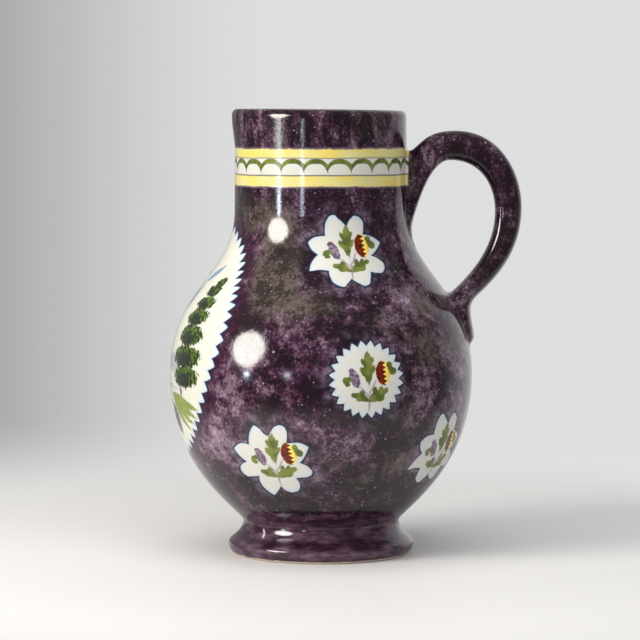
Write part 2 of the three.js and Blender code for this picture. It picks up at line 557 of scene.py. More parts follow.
def move(mesh: bpy.types.Mesh, spots: np.ndarray) -> None:
    """Puts a mesh's points at places in millimetres."""
    mesh.vertices.foreach_set("co", (spots * MM).astype(np.float32).ravel())
    mesh.update()


def holder(name: str, data: bpy.types.ID) -> bpy.types.Object:
    """A linked object that holds a mesh, a lamp or a camera."""
    made = bpy.data.objects.new(name, data)
    bpy.context.scene.collection.objects.link(made)
    return made


def evaluated(made: bpy.types.Object) -> bpy.types.Mesh:
    """The mesh that an object's modifiers give."""
    graph = bpy.context.evaluated_depsgraph_get()
    return bpy.data.meshes.new_from_object(made.evaluated_get(graph), depsgraph=graph)


class Former(Enum):
    """How a row of stations becomes a closed form."""

    TURNED = "turned"
    SWEPT = "swept"


class FormTree:
    """A Geometry Nodes tree that turns or sweeps a row of stations into a closed mesh."""

    seam: float = 2e-6

    def __init__(self, former: Former) -> None:
        """Builds the tree for one way of forming.

        Args:
            former: Whether the stations are turned or swept.
        """
        self.tree = bpy.data.node_groups.new(f"{former.value} form", "GeometryNodeTree")
        face = self.tree.interface
        kinds = {"Stations": "Geometry", "Rows": "Int", "Sides": "Int", "Glaze": "Material"}
        for name, kind in kinds.items():
            face.new_socket(name, in_out="INPUT", socket_type=f"NodeSocket{kind}")
        face.new_socket("Form", in_out="OUTPUT", socket_type="NodeSocketGeometry")
        sheet = Sheet(self.tree)
        self.sheet = sheet
        given = sheet.node("NodeGroupInput")
        self.stations = given.outputs["Stations"]
        rows, sides = Term(sheet, given.outputs["Rows"]), Term(sheet, given.outputs["Sides"])
        values = {"Size X": 1.0, "Size Y": 1.0, "Vertices X": sides + 1, "Vertices Y": rows}
        grid = sheet.node("GeometryNodeMeshGrid", None, values)
        x, y, _ = sheet.split(Term(sheet, grid.outputs["UV Map"]))
        self.around = x * math.tau
        self.index = sheet.math("ROUND", y * (rows - 1))
        shape = self.turned() if former is Former.TURNED else self.swept()
        store = {"data_type": "FLOAT", "domain": "POINT"}
        chain = [
            ("SetPosition", None, {"Position": shape}),
            ("StoreNamedAttribute", store, {"Name": "arc", "Value": self.sampled("arc")}),
            ("MergeByDistance", None, {"Distance": self.seam}),
            ("SetShadeSmooth", None, {}),
            ("RealizeInstances", None, {}),
            ("SetMaterial", None, {"Material": given.outputs["Glaze"]}),
        ]
        form = grid.outputs[0]
        for kind, settings, values in chain:
            made = sheet.node(f"GeometryNode{kind}", settings, {"Geometry": form, **values})
            form = made.outputs[0]
        sheet.node("NodeGroupOutput", None, {0: form})

    def sampled(self, name: str, kind: str = "FLOAT") -> Term:
        """The stations' value of that name at this row.

        Args:
            name: The stored value's name.
            kind: Its type.

        Returns:
            The value at this point's row.
        """
        sheet = self.sheet
        read = sheet.node("GeometryNodeInputNamedAttribute", {"data_type": kind}, {"Name": name})
        taken = sheet.node(
            "GeometryNodeSampleIndex",
            {"data_type": kind, "domain": "POINT", "clamp": True},
            {"Geometry": self.stations, "Value": read.outputs[0], "Index": self.index},
        )
        return Term(sheet, taken.outputs[0])

    def turned(self) -> Term:
        """Places a point on the turned form, with finer sides toward the handle.

        Returns:
            The point's place.
        """
        sheet = self.sheet
        radius, _, z = sheet.split(self.sampled("first", "FLOAT_VECTOR"))
        angle = self.around - sheet.math("SINE", self.around) * 0.7
        x = radius * sheet.math("COSINE", angle)
        return sheet.vector(x, radius * sheet.math("SINE", angle), z)

    def swept(self) -> Term:
        """Places a point on a section that is round outside and flatter inside.

        Returns:
            The point's place.
        """
        sheet = self.sheet
        outer_x, _, outer_z = sheet.split(self.sampled("first", "FLOAT_VECTOR"))
        inner_x, _, inner_z = sheet.split(self.sampled("second", "FLOAT_VECTOR"))
        out = sheet.math("COSINE", self.around)
        across = sheet.math("SINE", self.around)
        power = 2.0 + (out < 0.0) * 1.2
        size = abs(out) ** power + abs(across) ** power
        reach = size ** (-1.0 / power)
        share = out * reach * 0.5
        x = (outer_x + inner_x) * 0.5 + (outer_x - inner_x) * share
        z = (outer_z + inner_z) * 0.5 + (outer_z - inner_z) * share
        return sheet.vector(x, across * reach * self.sampled("width") * -0.5, z)

    def form(
        self, name: str, stations: bpy.types.Mesh, sides: int, glaze: bpy.types.Material
    ) -> bpy.types.Mesh:
        """Runs the tree on a row of stations.

        Args:
            name: The new mesh's name.
            stations: Points with the attributes first, second, width and arc.
            sides: Faces around.
            glaze: The material.

        Returns:
            The closed form as a plain mesh.
        """
        made = holder(name, stations)
        maker = made.modifiers.new(name, "NODES")
        maker.node_group = self.tree
        wanted = {"Rows": len(stations.vertices), "Sides": sides, "Glaze": glaze}
        for item in self.tree.interface.items_tree:
            if item.name in wanted and item.in_out == "INPUT":
                maker[item.identifier] = wanted[item.name]
        mesh = evaluated(made)
        mesh.name = name
        made.modifiers.remove(maker)
        bpy.data.objects.remove(made)
        return mesh


@dataclass
class ClayForm:
    """The jug's clay: a turned vessel and a pulled handle, joined with a soft fillet."""

    outline: Outline = field(default_factory=Outline)
    sides: int = 256
    handle_sides: int = 40
    spout_out: float = 1.7
    spout_depth: float = 18.0
    spout_half_angle: float = 24.0
    rim_fall: float = 0.85
    rim_fall_depth: float = 14.0
    fillet: float = 3.4
    near_x: float = 30.0
    near_y: float = 20.0
    near_z: float = 85.0
    near_depth: float = 1.5
    rounds: int = 5

    def __post_init__(self) -> None:
        """Lays out the handle on the outline."""
        self.line = HandleLine(self.outline)

    def vessel(self, glaze: bpy.types.Material) -> bpy.types.Mesh:
        """The turned vessel with its pouring lip.

        Args:
            glaze: Its material.

        Returns:
            The closed vessel.
        """
        rows = self.outline.whole * MM
        flat = np.c_[rows[:, 0], np.zeros(len(rows)), rows[:, 1]]
        stations = plain_mesh("outline", flat)
        give(stations, "first", flat, "FLOAT_VECTOR")
        give(stations, "arc", self.outline.arc)
        mesh = FormTree(Former.TURNED).form("vessel", stations, self.sides, glaze)
        self.shape_rim(mesh)
        return mesh

    def shape_rim(self, mesh: bpy.types.Mesh) -> None:
        """Draws out the pouring lip and lets the rim fall toward the handle.

        Args:
            mesh: The vessel, which is changed.
        """
        place = places(mesh)
        radius = np.maximum(np.hypot(place[:, 0], place[:, 1]), 1e-6)
        level = place[:, 2] - (self.outline.height - self.outline.lip_depth)
        away = np.degrees(np.arctan2(abs(place[:, 1]), -place[:, 0])) / self.spout_half_angle
        lift = rise((level + self.spout_depth) / self.spout_depth)
        out = 1 + self.spout_out * np.exp(-away * away) * lift / radius
        fall = self.rim_fall * rise((level + self.rim_fall_depth) / self.rim_fall_depth)
        place[:, 2] -= fall * (1 + place[:, 0] / radius) / 2 * (radius > 1)
        place[:, :2] *= out[:, None]
        move(mesh, place)

    def handle(self, glaze: bpy.types.Material) -> bpy.types.Mesh:
        """The swept handle with its tail.

        Args:
            glaze: Its material.

        Returns:
            The closed handle.
        """
        rows = self.line.stations * MM
        zero = np.zeros(len(rows))
        outer, inner = (np.c_[rows[:, i], zero, rows[:, i + 1]] for i in (0, 2))
        stations = plain_mesh("handle line", outer)
        give(stations, "first", outer, "FLOAT_VECTOR")
        give(stations, "second", inner, "FLOAT_VECTOR")
        give(stations, "width", rows[:, 4])
        give(stations, "arc", zero)
        return FormTree(Former.SWEPT).form("handle", stations, self.handle_sides, glaze)

    def joined(self, vessel: bpy.types.Mesh, handle: bpy.types.Mesh) -> bpy.types.Mesh:
        """One closed mesh of both forms.

        Args:
            vessel: The turned vessel.
            handle: The swept handle.

        Returns:
            Their union.
        """
        body, loop = holder("body", vessel), holder("loop", handle)
        join = body.modifiers.new("join", "BOOLEAN")
        join.operation = "UNION"
        join.solver = "MANIFOLD"
        join.object = loop
        mesh = evaluated(body)
        body.modifiers.remove(join)
        bpy.data.objects.remove(body)
        bpy.data.objects.remove(loop)
        return mesh

    def vessel_distance(
        self, place: np.ndarray
    ) -> tuple[np.ndarray, np.ndarray, np.ndarray]:
        """Distance of points from the turned face, its direction, and the arc there.

        Args:
            place: The points in millimetres, one a row.

        Returns:
            The distances, the directions away from the face, and the arcs.
        """
        upper = self.outline.face[:, 1] > 20.0
        line, arc = self.outline.face[upper], self.outline.arc[: len(upper)][upper]
        radius = np.hypot(place[:, 0], place[:, 1])
        flat = np.c_[radius, place[:, 2]]
        a, step = line[:-1], np.diff(line, axis=0)
        length = (step * step).sum(1)
        gap = flat[:, None] - a[None]
        t = np.clip((gap * step).sum(2) / length, 0, 1)
        off = gap - t[..., None] * step
        nearest = (off * off).sum(2).argmin(1)
        rows = np.arange(len(flat))
        off, along = off[rows, nearest], step[nearest] / np.sqrt(length[nearest])[:, None]
        normal = np.c_[along[:, 1], -along[:, 0]]
        away = (off * normal).sum(1)
        around = place[:, :2] / np.maximum(radius, 1e-9)[:, None]
        at = arc[nearest] + t[rows, nearest] * np.sqrt(length[nearest])
        return away, np.c_[around * normal[:, :1], normal[:, 1]], at

    def soften(self, mesh: bpy.types.Mesh, handle: bpy.types.Mesh) -> None:
        """Fills the meeting of vessel and handle with a soft fillet.

        Args:
            mesh: The union, which is changed.
            handle: The handle alone, to measure from.
        """
        place = places(mesh)
        x, y, z = place.T
        near = (x > self.near_x) & (abs(y) < self.near_y) & (z > self.near_z)
        near &= np.hypot(x, y) > self.outline.radius_at(z) - self.near_depth
        chosen = np.flatnonzero(near)
        tree = BVHTree.FromPolygons(
            [v.co / MM for v in handle.vertices], [p.vertices[:] for p in handle.polygons]
        )
        k = self.fillet
        spots = place[chosen]
        for _ in range(self.rounds):
            to_vessel, vessel_way, _ = self.vessel_distance(spots)
            to_loop = np.empty(len(spots))
            loop_way = np.empty((len(spots), 3))
            for i, spot in enumerate(spots):
                hit, normal, _, distance = tree.find_nearest(Vector(spot))
                gap = spot - np.array(hit)
                side = 1.0 if gap @ np.array(normal) >= 0 else -1.0
                to_loop[i] = side * distance
                loop_way[i] = side * gap / distance if distance > 0.05 else normal
            mixing = np.maximum(k - abs(to_vessel - to_loop), 0) / k
            inner = np.minimum(to_vessel, to_loop) - mixing * mixing * k / 4
            share = np.where(to_vessel < to_loop, 1 - mixing / 2, mixing / 2)[:, None]
            way = vessel_way * share + loop_way * (1 - share)
            way /= np.maximum(np.linalg.norm(way, axis=1), 1e-6)[:, None]
            spots = spots - way * (inner * (mixing > 0))[:, None]
        place[chosen] = spots
        move(mesh, place)
        self.mark(mesh, chosen, spots)

    def mark(self, mesh: bpy.types.Mesh, chosen: np.ndarray, spots: np.ndarray) -> None:
        """Stores the arc and the height off the turned face at points near the handle.

        Args:
            mesh: The union.
            chosen: The numbers of those points.
            spots: Their places in millimetres.
        """
        away, _, at = self.vessel_distance(spots)
        strap = np.zeros(len(mesh.vertices), np.float32)
        strap[chosen] = away
        give(mesh, "strap", strap)
        arc = np.empty(len(strap), np.float32)
        mesh.attributes["arc"].data.foreach_get("value", arc)
        arc[chosen] = at
        mesh.attributes["arc"].data.foreach_set("value", arc)

    def build(self, glaze: bpy.types.Material) -> bpy.types.Object:
        """The finished form as one object.

        Args:
            glaze: Its material.

        Returns:
            The object.
        """
        vessel, handle = self.vessel(glaze), self.handle(glaze)
        log.info("vessel %d faces, handle %d", len(vessel.polygons), len(handle.polygons))
        mesh = self.joined(vessel, handle)
        self.soften(mesh, handle)
        mesh.name = "jug_form"
        mesh.polygons.foreach_set("use_smooth", np.ones(len(mesh.polygons), bool))
        mesh.materials.clear()
        mesh.materials.append(glaze)
        return holder("jug_form", mesh)


# Finishes


class Ink(Enum):
    """Colours of clay, glaze and paint, as they look on a screen."""

    CLAY = (212, 194, 176)
    DEEP = (26, 14, 22)
    PURPLE = (60, 36, 54)
    MAUVE = (118, 97, 111)
    PALE = (160, 140, 162)
    SOOT = (48, 40, 36)
    OLIVE = (84, 74, 68)
    WHITE = (201, 200, 192)
    CREAM = (205, 203, 190)
    ICE = (177, 195, 207)
    OUTLINE = (30, 36, 60)
    YELLOW = (208, 201, 136)
    GOLD = (216, 196, 98)
    LEAF = (114, 122, 54)
    MOSS = (76, 90, 40)
    STEM = (148, 128, 148)
    BUD = (84, 68, 86)
    RED = (124, 34, 12)
    RUST = (74, 18, 8)
    PETAL = (234, 210, 92)
    ORANGE = (226, 160, 48)
    SKY = (86, 124, 172)
    FIR = (28, 42, 22)
    FRESH = (78, 104, 30)
    NIGHT = (30, 34, 34)
    LIME = (130, 148, 54)
    ROCK = (98, 84, 104)
    LINE = (112, 104, 100)
    HAZE = (112, 134, 150)
    PLUM = (52, 20, 42)
    WINE = (70, 36, 58)
    DUSK = (44, 24, 36)
    HEATHER = (100, 74, 94)
    CHIP = (186, 170, 184)

    @property
    def colour(self) -> tuple[float, float, float]:
        """The ink in scene values."""
        return srgb(*self.value)


@dataclass(frozen=True)
class Brush:
    """Marks on a flat patch. Each is a distance in millimetres, below zero inside."""

    sheet: Sheet
    u: Term
    v: Term

    def dab(self, x: float, y: float, rx: float, ry: float, turn: float = 0.0) -> Term:
        """An ellipse, turned counter-clockwise by degrees.

        Args:
            x: Its middle across.
            y: Its middle up.
            rx: Half its width.
            ry: Half its height.
            turn: The turn.

        Returns:
            The distance from its edge.
        """
        c, s = math.cos(math.radians(turn)), math.sin(math.radians(turn))
        add = "MULTIPLY_ADD"
        across = self.sheet.math(add, self.v, s / rx, -(x * c + y * s) / rx)
        across = self.sheet.math(add, self.u, c / rx, across)
        along = self.sheet.math(add, self.v, c / ry, (x * s - y * c) / ry)
        along = self.sheet.math(add, self.u, -s / ry, along)
        size = min(rx, ry)
        return self.sheet.math(add, self.sheet.length(across, along), size, -size)

    def stroke(self, x0: float, y0: float, x1: float, y1: float, half: float) -> Term:
        """A stroke that is widest in its middle and pointed at both ends.

        Args:
            x0: Its start across.
            y0: Its start up.
            x1: Its end across.
            y1: Its end up.
            half: Half its width in the middle.

        Returns:
            The distance from its edge.
        """
        dx, dy = x1 - x0, y1 - y0
        long = math.hypot(dx, dy)
        add = "MULTIPLY_ADD"
        along = self.sheet.math(add, self.v, dy / long**2, -(x0 * dx + y0 * dy) / long**2)
        along = self.sheet.math(add, self.u, dx / long**2, along)
        across = self.sheet.math(add, self.v, dx / long, (x0 * dy - y0 * dx) / long)
        across = self.sheet.math(add, self.u, -dy / long, across)
        swell = along - along * along
        return self.sheet.math(add, swell, -4 * half, abs(across))

    def union(self, marks: Sequence[Term]) -> Term:
        """All the marks together.

        Args:
            marks: Distances.

        Returns:
            The distance from the nearest.
        """
        whole = marks[0]
        for mark in marks[1:]:
            whole = whole.low(mark)
        return whole

    def dabs(self, rows: Sequence[Sequence[float]]) -> Term:
        """Ellipses and, from rows of five with a first entry of "s", strokes as one mark."""
        made = [self.stroke(*r[1:]) if r[0] == "s" else self.dab(*r) for r in rows]
        return self.union(made)


@dataclass(frozen=True)
class Reserve:
    """A white reserve. The edge is given as pairs of degrees and radius, or is serrated."""

    angle: float
    arc: float
    edge: tuple[tuple[float, float], ...] = ()
    points: tuple[float, ...] = ()
    radius: float = 17.2
    depth: float = 2.5
    teeth: int = 24


STAR = (
    (-175, 13.1), (-162, 17.2), (-152, 20.0), (-146, 15.6), (-136, 13.2), (-126, 15.8),
    (-115, 17.9), (-104, 18.3), (-99, 16.5), (-90, 13.5), (-78, 16.5), (-68, 18.4),
    (-58, 16.6), (-46, 13.9), (-39, 17.0), (-30, 19.0), (-14, 15.0), (-10, 11.4),
    (2, 14.1), (14, 17.2), (31, 14.1), (45, 11.5), (53, 14.4), (62, 16.8), (72, 17.3),
    (79, 15.9), (87, 11.5), (102, 15.8), (109, 17.9), (119, 16.8), (128, 14.7),
    (140, 12.0), (147, 13.8), (155, 15.9), (164, 17.2), (175, 15.5),
)
BLOOM = (
    (-178, 15.7), (-171, 13.7), (-157, 18.9), (-149, 18.5), (-139, 15.2), (-132, 13.0),
    (-126, 15.3), (-109, 19.3), (-100, 20.9), (-92, 17.0), (-87, 14.8), (-79, 18.3),
    (-70, 19.3), (-59, 17.9), (-49, 13.2), (-40, 14.8), (-32, 16.9), (-24, 17.6),
    (-17, 16.5), (-8, 11.7), (10, 15.0), (21, 17.5), (31, 15.7), (40, 12.9), (49, 10.2),
    (57, 13.8), (64, 16.2), (71, 17.1), (80, 16.2), (88, 13.7), (96, 11.2), (104, 12.5),
    (110, 15.5), (116, 17.7), (126, 16.4), (139, 14.4), (149, 12.9), (157, 17.3),
    (168, 19.7), (174, 17.9),
)
RESERVES = (
    Reserve(-74.5, 159.3, STAR, (14, 164, -152)),
    Reserve(-72.8, 99.0),
    Reserve(-109.5, 62.9, BLOOM, (21, 116, 168, -100)),
    Reserve(-32.3, 64.8, STAR, (14, 164, -152)),
)


@dataclass(frozen=True)
class Layers:
    """What the painting is made from: the sheet and the place on the jug in millimetres."""

    sheet: Sheet
    place: Term
    x: Term
    y: Term
    z: Term
    radius: Term
    angle: Term
    arc: Term


@dataclass(frozen=True)
class Zone:
    """A soft round patch of the ground, by its middle's x and z."""

    x: float
    z: float
    reach: float
    core: float

    def share(self, layers: Layers) -> Term:
        """Zero beyond its reach and one within its core."""
        away = layers.sheet.length(layers.x - self.x, layers.z - self.z)
        return away.step(self.reach, self.core)


@dataclass(frozen=True)
class SpongedGround:
    """Purple glaze dabbed on with a sponge, over a paler first coat."""

    blotch: float = 17.0
    mottle: float = 4.2
    grain: float = 1.25
    weights: tuple[float, float, float] = (2.1, 1.5, 1.4)
    level: float = 2.19
    beside_medallion: Zone = Zone(-34.0, 130.0, 44.0, 14.0)
    rosy_belly: Zone = Zone(-26.0, 74.0, 44.0, 18.0)
    streaks: tuple[float, float] = (146.0, 176.0)
    brown_top: tuple[float, float] = (164.0, 178.0)
    handle_low: tuple[float, float] = (98.0, 112.0)
    handle_off: tuple[float, float] = (58.0, 63.0)
    # Size and spacing of the painted glint specks.
    glint_speck_scale: float = 0.42
    glint_speck_gap: float = 2.4
    bubble_scale: float = 0.21
    bubble_gap: float = 4.7

    def patches(self, layers: Layers, size: float, offset: float) -> Term:
        """Noise that is even on the belly and runs down in streaks on the neck.

        Args:
            layers: The place on the jug.
            size: The width of its features.
            offset: A shift that gives another pattern.

        Returns:
            The noise.
        """
        sheet = layers.sheet
        even = sheet.noise(layers.place, size, 3.0, 0.58, 0.15, offset=offset)
        tall = sheet.vector(layers.x, layers.y, layers.z * 0.34)
        run = sheet.noise(tall, size * 0.62, 3.0, 0.55, 0.15, offset=offset + 9.0)
        return even + (run - even) * layers.z.step(*self.streaks)

    def paint(self, layers: Layers) -> tuple[Term, Term]:
        """The ground's colour, and the depth of its small pits.

        Args:
            layers: The place on the jug.

        Returns:
            The colour and the relief.
        """
        sheet, place = layers.sheet, layers.place
        blotch = self.patches(layers, self.blotch, 0.0)
        mottle = self.patches(layers, self.mottle, 31.0)
        grain = sheet.noise(place, self.grain, 2.0, 0.7, offset=77.0)
        coarse, medium, fine = self.weights
        tone = blotch * coarse + mottle * medium + grain * fine - self.level
        beside = self.beside_medallion.share(layers) * layers.radius.step(70.0, 60.0)
        rosy = self.rosy_belly.share(layers)
        leftward = layers.x.step(-28, -46) * layers.z.step(26, 44) * layers.z.step(94, 72)
        brown = self.patches(layers, 30.0, 120.0) + beside * 0.16 - rosy * 0.16
        brown = brown - leftward * 0.22 - layers.z.step(64, 34) * 0.07
        loop = layers.z.step(*self.handle_low) * layers.radius.step(*self.handle_off)
        brown = brown.step(0.48, 0.66) * (1.0 - layers.z.step(*self.brown_top) * 0.7) * 0.92
        brown = brown * (1.0 - loop * 0.8)
        # Painted shade: the ground is darkened towards the bottom of the belly, below z 62 mm,
        # against the floor's reflection there.
        tone = tone - loop * 0.1 - layers.z.step(62, 30) * 0.11 - rosy * 0.06
        # Painted light: the right side of the belly is lightened where fill light falls.
        painted_fill_right = layers.x.step(20, 42) * layers.z.step(50, 74) * layers.z.step(140, 116)
        tone = tone + painted_fill_right * 0.16 + leftward * 0.34
        low = sheet.blend(brown, Ink.DEEP, Ink.SOOT)
        middle = sheet.blend(brown, Ink.PURPLE, Ink.OLIVE)
        high = sheet.blend(brown * 0.75, Ink.MAUVE, Ink.OLIVE)
        middle = sheet.blend(rosy * 0.6, middle, Ink.WINE)
        colour = sheet.blend(tone.step(0.1, 0.5), low, middle)
        colour = sheet.blend(tone.step(0.42, 0.88), colour, high)
        colour = sheet.blend(tone.step(0.84, 1.3), colour, Ink.PALE)
        # Painted glints: pale specks that stand for light caught on tiny bubbles in the glaze,
        # left off the handle.
        far, chosen = sheet.cells(place, self.glint_speck_scale)
        chance, _, bright = sheet.split(chosen)
        glint_speck = (far * self.glint_speck_gap - 0.34).inside(0.24) * (chance > 0.5)
        glint_speck = glint_speck * (bright * 0.7 + 0.1) * (1.0 - loop)
        colour = sheet.blend(glint_speck, colour, Ink.PALE)
        away, chosen = sheet.cells(place, self.bubble_scale)
        away = away * self.bubble_gap
        pick, size, _ = sheet.split(chosen)
        some = pick > (0.74 - layers.z.step(140, 190) * 0.38)
        reach = size * 0.42 + 0.22
        ring = (away - reach).inside(0.25) * some
        colour = sheet.blend(ring * (0.5 + layers.z.step(180, 194) * 0.4), colour, Ink.PALE)
        pit = (away - reach * 0.45).inside(0.2) * some
        colour = sheet.blend(pit * 0.6, colour, Ink.DEEP)
        return colour, ring - pit * 1.6 + grain * 0.3 + mottle * 0.8


@dataclass(frozen=True)
class NeckBand:
    """Two yellow bands with a row of green arches between them."""

    top: float = 182.5
    upper_line: float = 178.55
    lower_line: float = 170.95
    bottom: float = 166.1
    arches: int = 23
    first_joint: float = -163.8
    crown: float = 178.35
    underside: float = 176.1

    def paint(self, layers: Layers, colour: Term) -> tuple[Term, Term]:
        """The band over a colour, and where the band is.

        Args:
            layers: The place on the jug.
            colour: What lies below.

        Returns:
            The colour and the mask.
        """
        sheet = layers.sheet
        flat = sheet.vector(layers.x, layers.y, layers.z * 0.35)
        sway = sheet.noise(flat, 14.0, 1.0, 0.5, offset=9.0) - 0.5
        fray = sheet.noise(layers.place, 2.6, 2.0, 0.6, offset=50.0) - 0.5
        z = layers.z + sway * 1.1
        top = z + fray * 1.3 - self.top
        bottom = self.bottom - z + fray * 0.7
        band = top.high(bottom)
        mask = band.inside(0.35)
        halo = (band - 0.5).inside(1.2) * (1.0 - mask)
        colour = sheet.blend(halo * 0.45, colour, Ink.PALE)
        around = sheet.vector(layers.x, layers.y, layers.z * 3.0)
        wash = sheet.noise(around, 16.0, 2.0, 0.5, offset=64.0).step(0.4, 0.72)
        yellow = sheet.blend(wash, Ink.YELLOW, Ink.GOLD)
        colour = sheet.blend(mask, colour, yellow)
        between = (z - self.upper_line).high(self.lower_line - z).inside(0.3)
        colour = sheet.blend(between, colour, Ink.WHITE)
        turn = layers.angle * (180 / math.pi) - self.first_joint + sway * 3.5
        share = sheet.math("FRACT", turn * (self.arches / 360.0) + self.arches)
        x = share * 2.0 - 1.0
        side = abs(x)
        outer = z - self.crown + side**2.4 * 2.5
        leg = (x > 0.0) * 1.7 + 3.0
        inner = self.underside - z - side**3.3 * leg
        arch = outer.high(inner)
        wash = sheet.noise(layers.place, 4.0, 2.0, 0.6, offset=88.0).step(0.4, 0.62)
        green = sheet.blend(wash, Ink.MOSS, Ink.LEAF)
        colour = sheet.blend(arch.inside(0.3), colour, green)
        for level, half, share in ((self.upper_line, 0.3, 0.7), (self.lower_line, 0.33, 0.95)):
            line = abs(z - level) - half
            colour = sheet.blend(line.inside(0.3) * share, colour, Ink.LINE)
        return colour, mask


@dataclass(frozen=True)
class Sprig:
    """A small spray: three lobed leaves, a bud and a half-open flower."""

    leaves: tuple = (
        ("s", 0.6, -3.0, 0.3, 12.8, 1.1), (0.3, 5.2, 2.1, 6.8, 0), (-1.9, 3.4, 1.2, 2.4, 28),
        (2.1, 3.8, 1.2, 2.4, -28), (-1.8, 7.4, 0.9, 1.9, 24), (2.0, 7.6, 0.9, 1.9, -24),
        ("s", 1.4, -9.6, -5.0, -7.0, 1.2), (-3.4, -7.4, 3.2, 1.6, -12), (-2.6, -6.0, 1.2, 1.6, 10),
        (-5.9, -6.9, 1.4, 1.1, -10), (-3.6, -8.7, 1.5, 0.9, 0),
        ("s", 0.8, -9.9, 6.0, -6.4, 1.5), (4.6, -7.0, 3.9, 2.1, 28), (3.4, -5.0, 1.1, 1.8, 0),
        (6.0, -4.7, 1.1, 1.7, -20), (8.2, -5.0, 1.6, 1.2, 30), (5.8, -8.3, 1.9, 1.1, 18),
        (-9.5, -0.6, 1.4, 1.7, 0), (-8.9, -2.0, 1.2, 1.1, 0), (-8.3, 0.2, 1.2, 1.2, 0),
        (10.1, 6.0, 1.3, 1.4, 0), (11.9, 3.1, 1.8, 1.7, 0), (10.8, 4.4, 1.3, 1.3, 0),
    )
    stems: tuple = (
        ("s", 0.7, -14.6, 0.9, -3.6, 0.5),
        ("s", 1.2, -8.2, -3.8, -2.6, 0.45),
        ("s", 0.7, -7.0, 4.2, 0.2, 0.45),
    )
    bud: tuple = ((-5.7, 0.4, 2.1, 4.3, 20), (-7.3, 3.9, 1.3, 1.0, 20))

    def paint(self, layers: Layers, brush: Brush, colour: Term) -> Term:
        """The spray over a colour.

        Args:
            layers: The place on the jug.
            brush: The spray's patch.
            colour: What lies below.

        Returns:
            The colour.
        """
        sheet = layers.sheet
        fine = sheet.noise(layers.place, 1.1, 1.0, 0.5, offset=12.0)
        soft = sheet.noise(layers.place, 5.0, 1.0, 0.5, offset=5.0)
        edge = (fine - 0.5) * 0.55
        stem = brush.dabs(self.stems).inside(0.35)
        colour = sheet.blend(stem * 0.9, colour, Ink.STEM)
        bud = (brush.dabs(self.bud) + edge).inside(0.4)
        violet = sheet.blend(fine.step(0.35, 0.7), Ink.BUD, Ink.STEM)
        colour = sheet.blend(bud, colour, violet)
        flower = brush.dab(7.1, 2.7, 3.3, 5.4, 8) + edge
        saw = sheet.math("PINGPONG", brush.v + 40.0, 1.0)
        cut = brush.u - 7.5 + brush.v * 0.12 - saw * 1.7
        glow = (brush.u - 8.0 - soft * 1.5).step(0.0, 1.6) * 0.8
        petal = sheet.blend(glow, Ink.PETAL, Ink.ORANGE)
        colour = sheet.blend(flower.inside(0.35), colour, petal)
        red = flower.high(cut).inside(0.35)
        heart = sheet.blend(fine.step(0.4, 0.62), Ink.RUST, Ink.RED)
        colour = sheet.blend(red, colour, heart)
        leaf = (brush.dabs(self.leaves) + edge).inside(0.35)
        green = sheet.blend(soft.step(0.35, 0.65), Ink.MOSS, Ink.LEAF)
        return sheet.blend(leaf, colour, green)


@dataclass(frozen=True)
class Reserves:
    """The white stars and the toothed disc, on both sides of the jug."""

    sprig: Sprig = Sprig()
    largest: float = 25.0

    def edge(self, layers: Layers, spot: Reserve, share: Term) -> Term:
        """The radius of a reserve's edge, where share is the turn from 0 to 1.

        Args:
            layers: The place on the jug.
            spot: The reserve.
            share: The turn.

        Returns:
            The radius in millimetres.
        """
        sheet = layers.sheet
        if not spot.edge:
            saw = abs(sheet.math("FRACT", share * spot.teeth) * 2.0 - 1.0)
            return spot.radius - saw**1.08 * spot.depth
        rows = [(a / 360 + 0.5, r / self.largest, a in spot.points) for a, r in spot.edge]
        first, last = rows[0], rows[-1]
        gap = first[0] + 1 - last[0]
        level = last[1] + (first[1] - last[1]) * (1 - last[0]) / gap
        rows = [(0.0, level, False)] + rows + [(1.0, level, False)]
        drawn = []
        for i, (at, size, sharp) in enumerate(rows):
            low = 0 < i < len(rows) - 1 and size < min(rows[i - 1][1], rows[i + 1][1])
            drawn.append((at, size, "VECTOR" if sharp or low else "AUTO"))
        return sheet.curve(share, drawn) * self.largest

    def paint(self, layers: Layers, colour: Term) -> tuple[Term, Term]:
        """The reserves over a colour, and where they are.

        Args:
            layers: The place on the jug.
            colour: What lies below.

        Returns:
            The colour and the mask.
        """
        sheet = layers.sheet
        near_y = -abs(layers.y)
        wobble = sheet.noise(layers.place, 6.0, 1.0, 0.5, offset=23.0)
        shift = (wobble - 0.5) * 1.0
        u: Value = 90.0
        v: Value = 90.0
        picks = []
        for spot in RESERVES:
            turn = math.radians(spot.angle)
            across = near_y * math.cos(turn) - layers.x * math.sin(turn)
            along = layers.arc - spot.arc
            pick = sheet.length(across, along) < 24.0
            u = sheet.math("MULTIPLY_ADD", pick, across - u, u)
            v = sheet.math("MULTIPLY_ADD", pick, along - v, v)
            picks.append(pick)
        share = sheet.math("ARCTAN2", v, u) / math.tau + 0.5
        edge: Value = 0.0
        for spot, pick in zip(RESERVES, picks):
            edge = sheet.math("MULTIPLY_ADD", pick, self.edge(layers, spot, share), edge)
        away = sheet.length(u, v) - edge + shift * 0.5
        mask = away.inside(0.25)
        smudge = sheet.noise(layers.place, 8.0, 2.0, 0.5, offset=210.0).step(0.36, 0.62)
        colour = sheet.blend(away.step(6.0, 1.0) * smudge * 0.6, colour, Ink.DEEP)
        speck = sheet.noise(layers.place, 2.2, 4.0, 0.68, offset=150.0).step(0.34, 0.66)
        halo = away.step(9.0, 0.0) * (1.0 - smudge) * (0.2 + speck * 0.8)
        colour = sheet.blend(halo * 0.5, colour, Ink.PALE)
        ground = sheet.blend(away.step(-2.8, -0.3) * 0.75, Ink.WHITE, Ink.ICE)
        colour = sheet.blend(mask, colour, ground)
        rim = (abs(away - 0.2) - 0.75 + wobble * 0.4).inside(0.4)
        colour = sheet.blend(rim * 0.95, colour, Ink.OUTLINE)
        brush = Brush(sheet, u + shift, v - shift)
        return self.sprig.paint(layers, brush, colour), mask


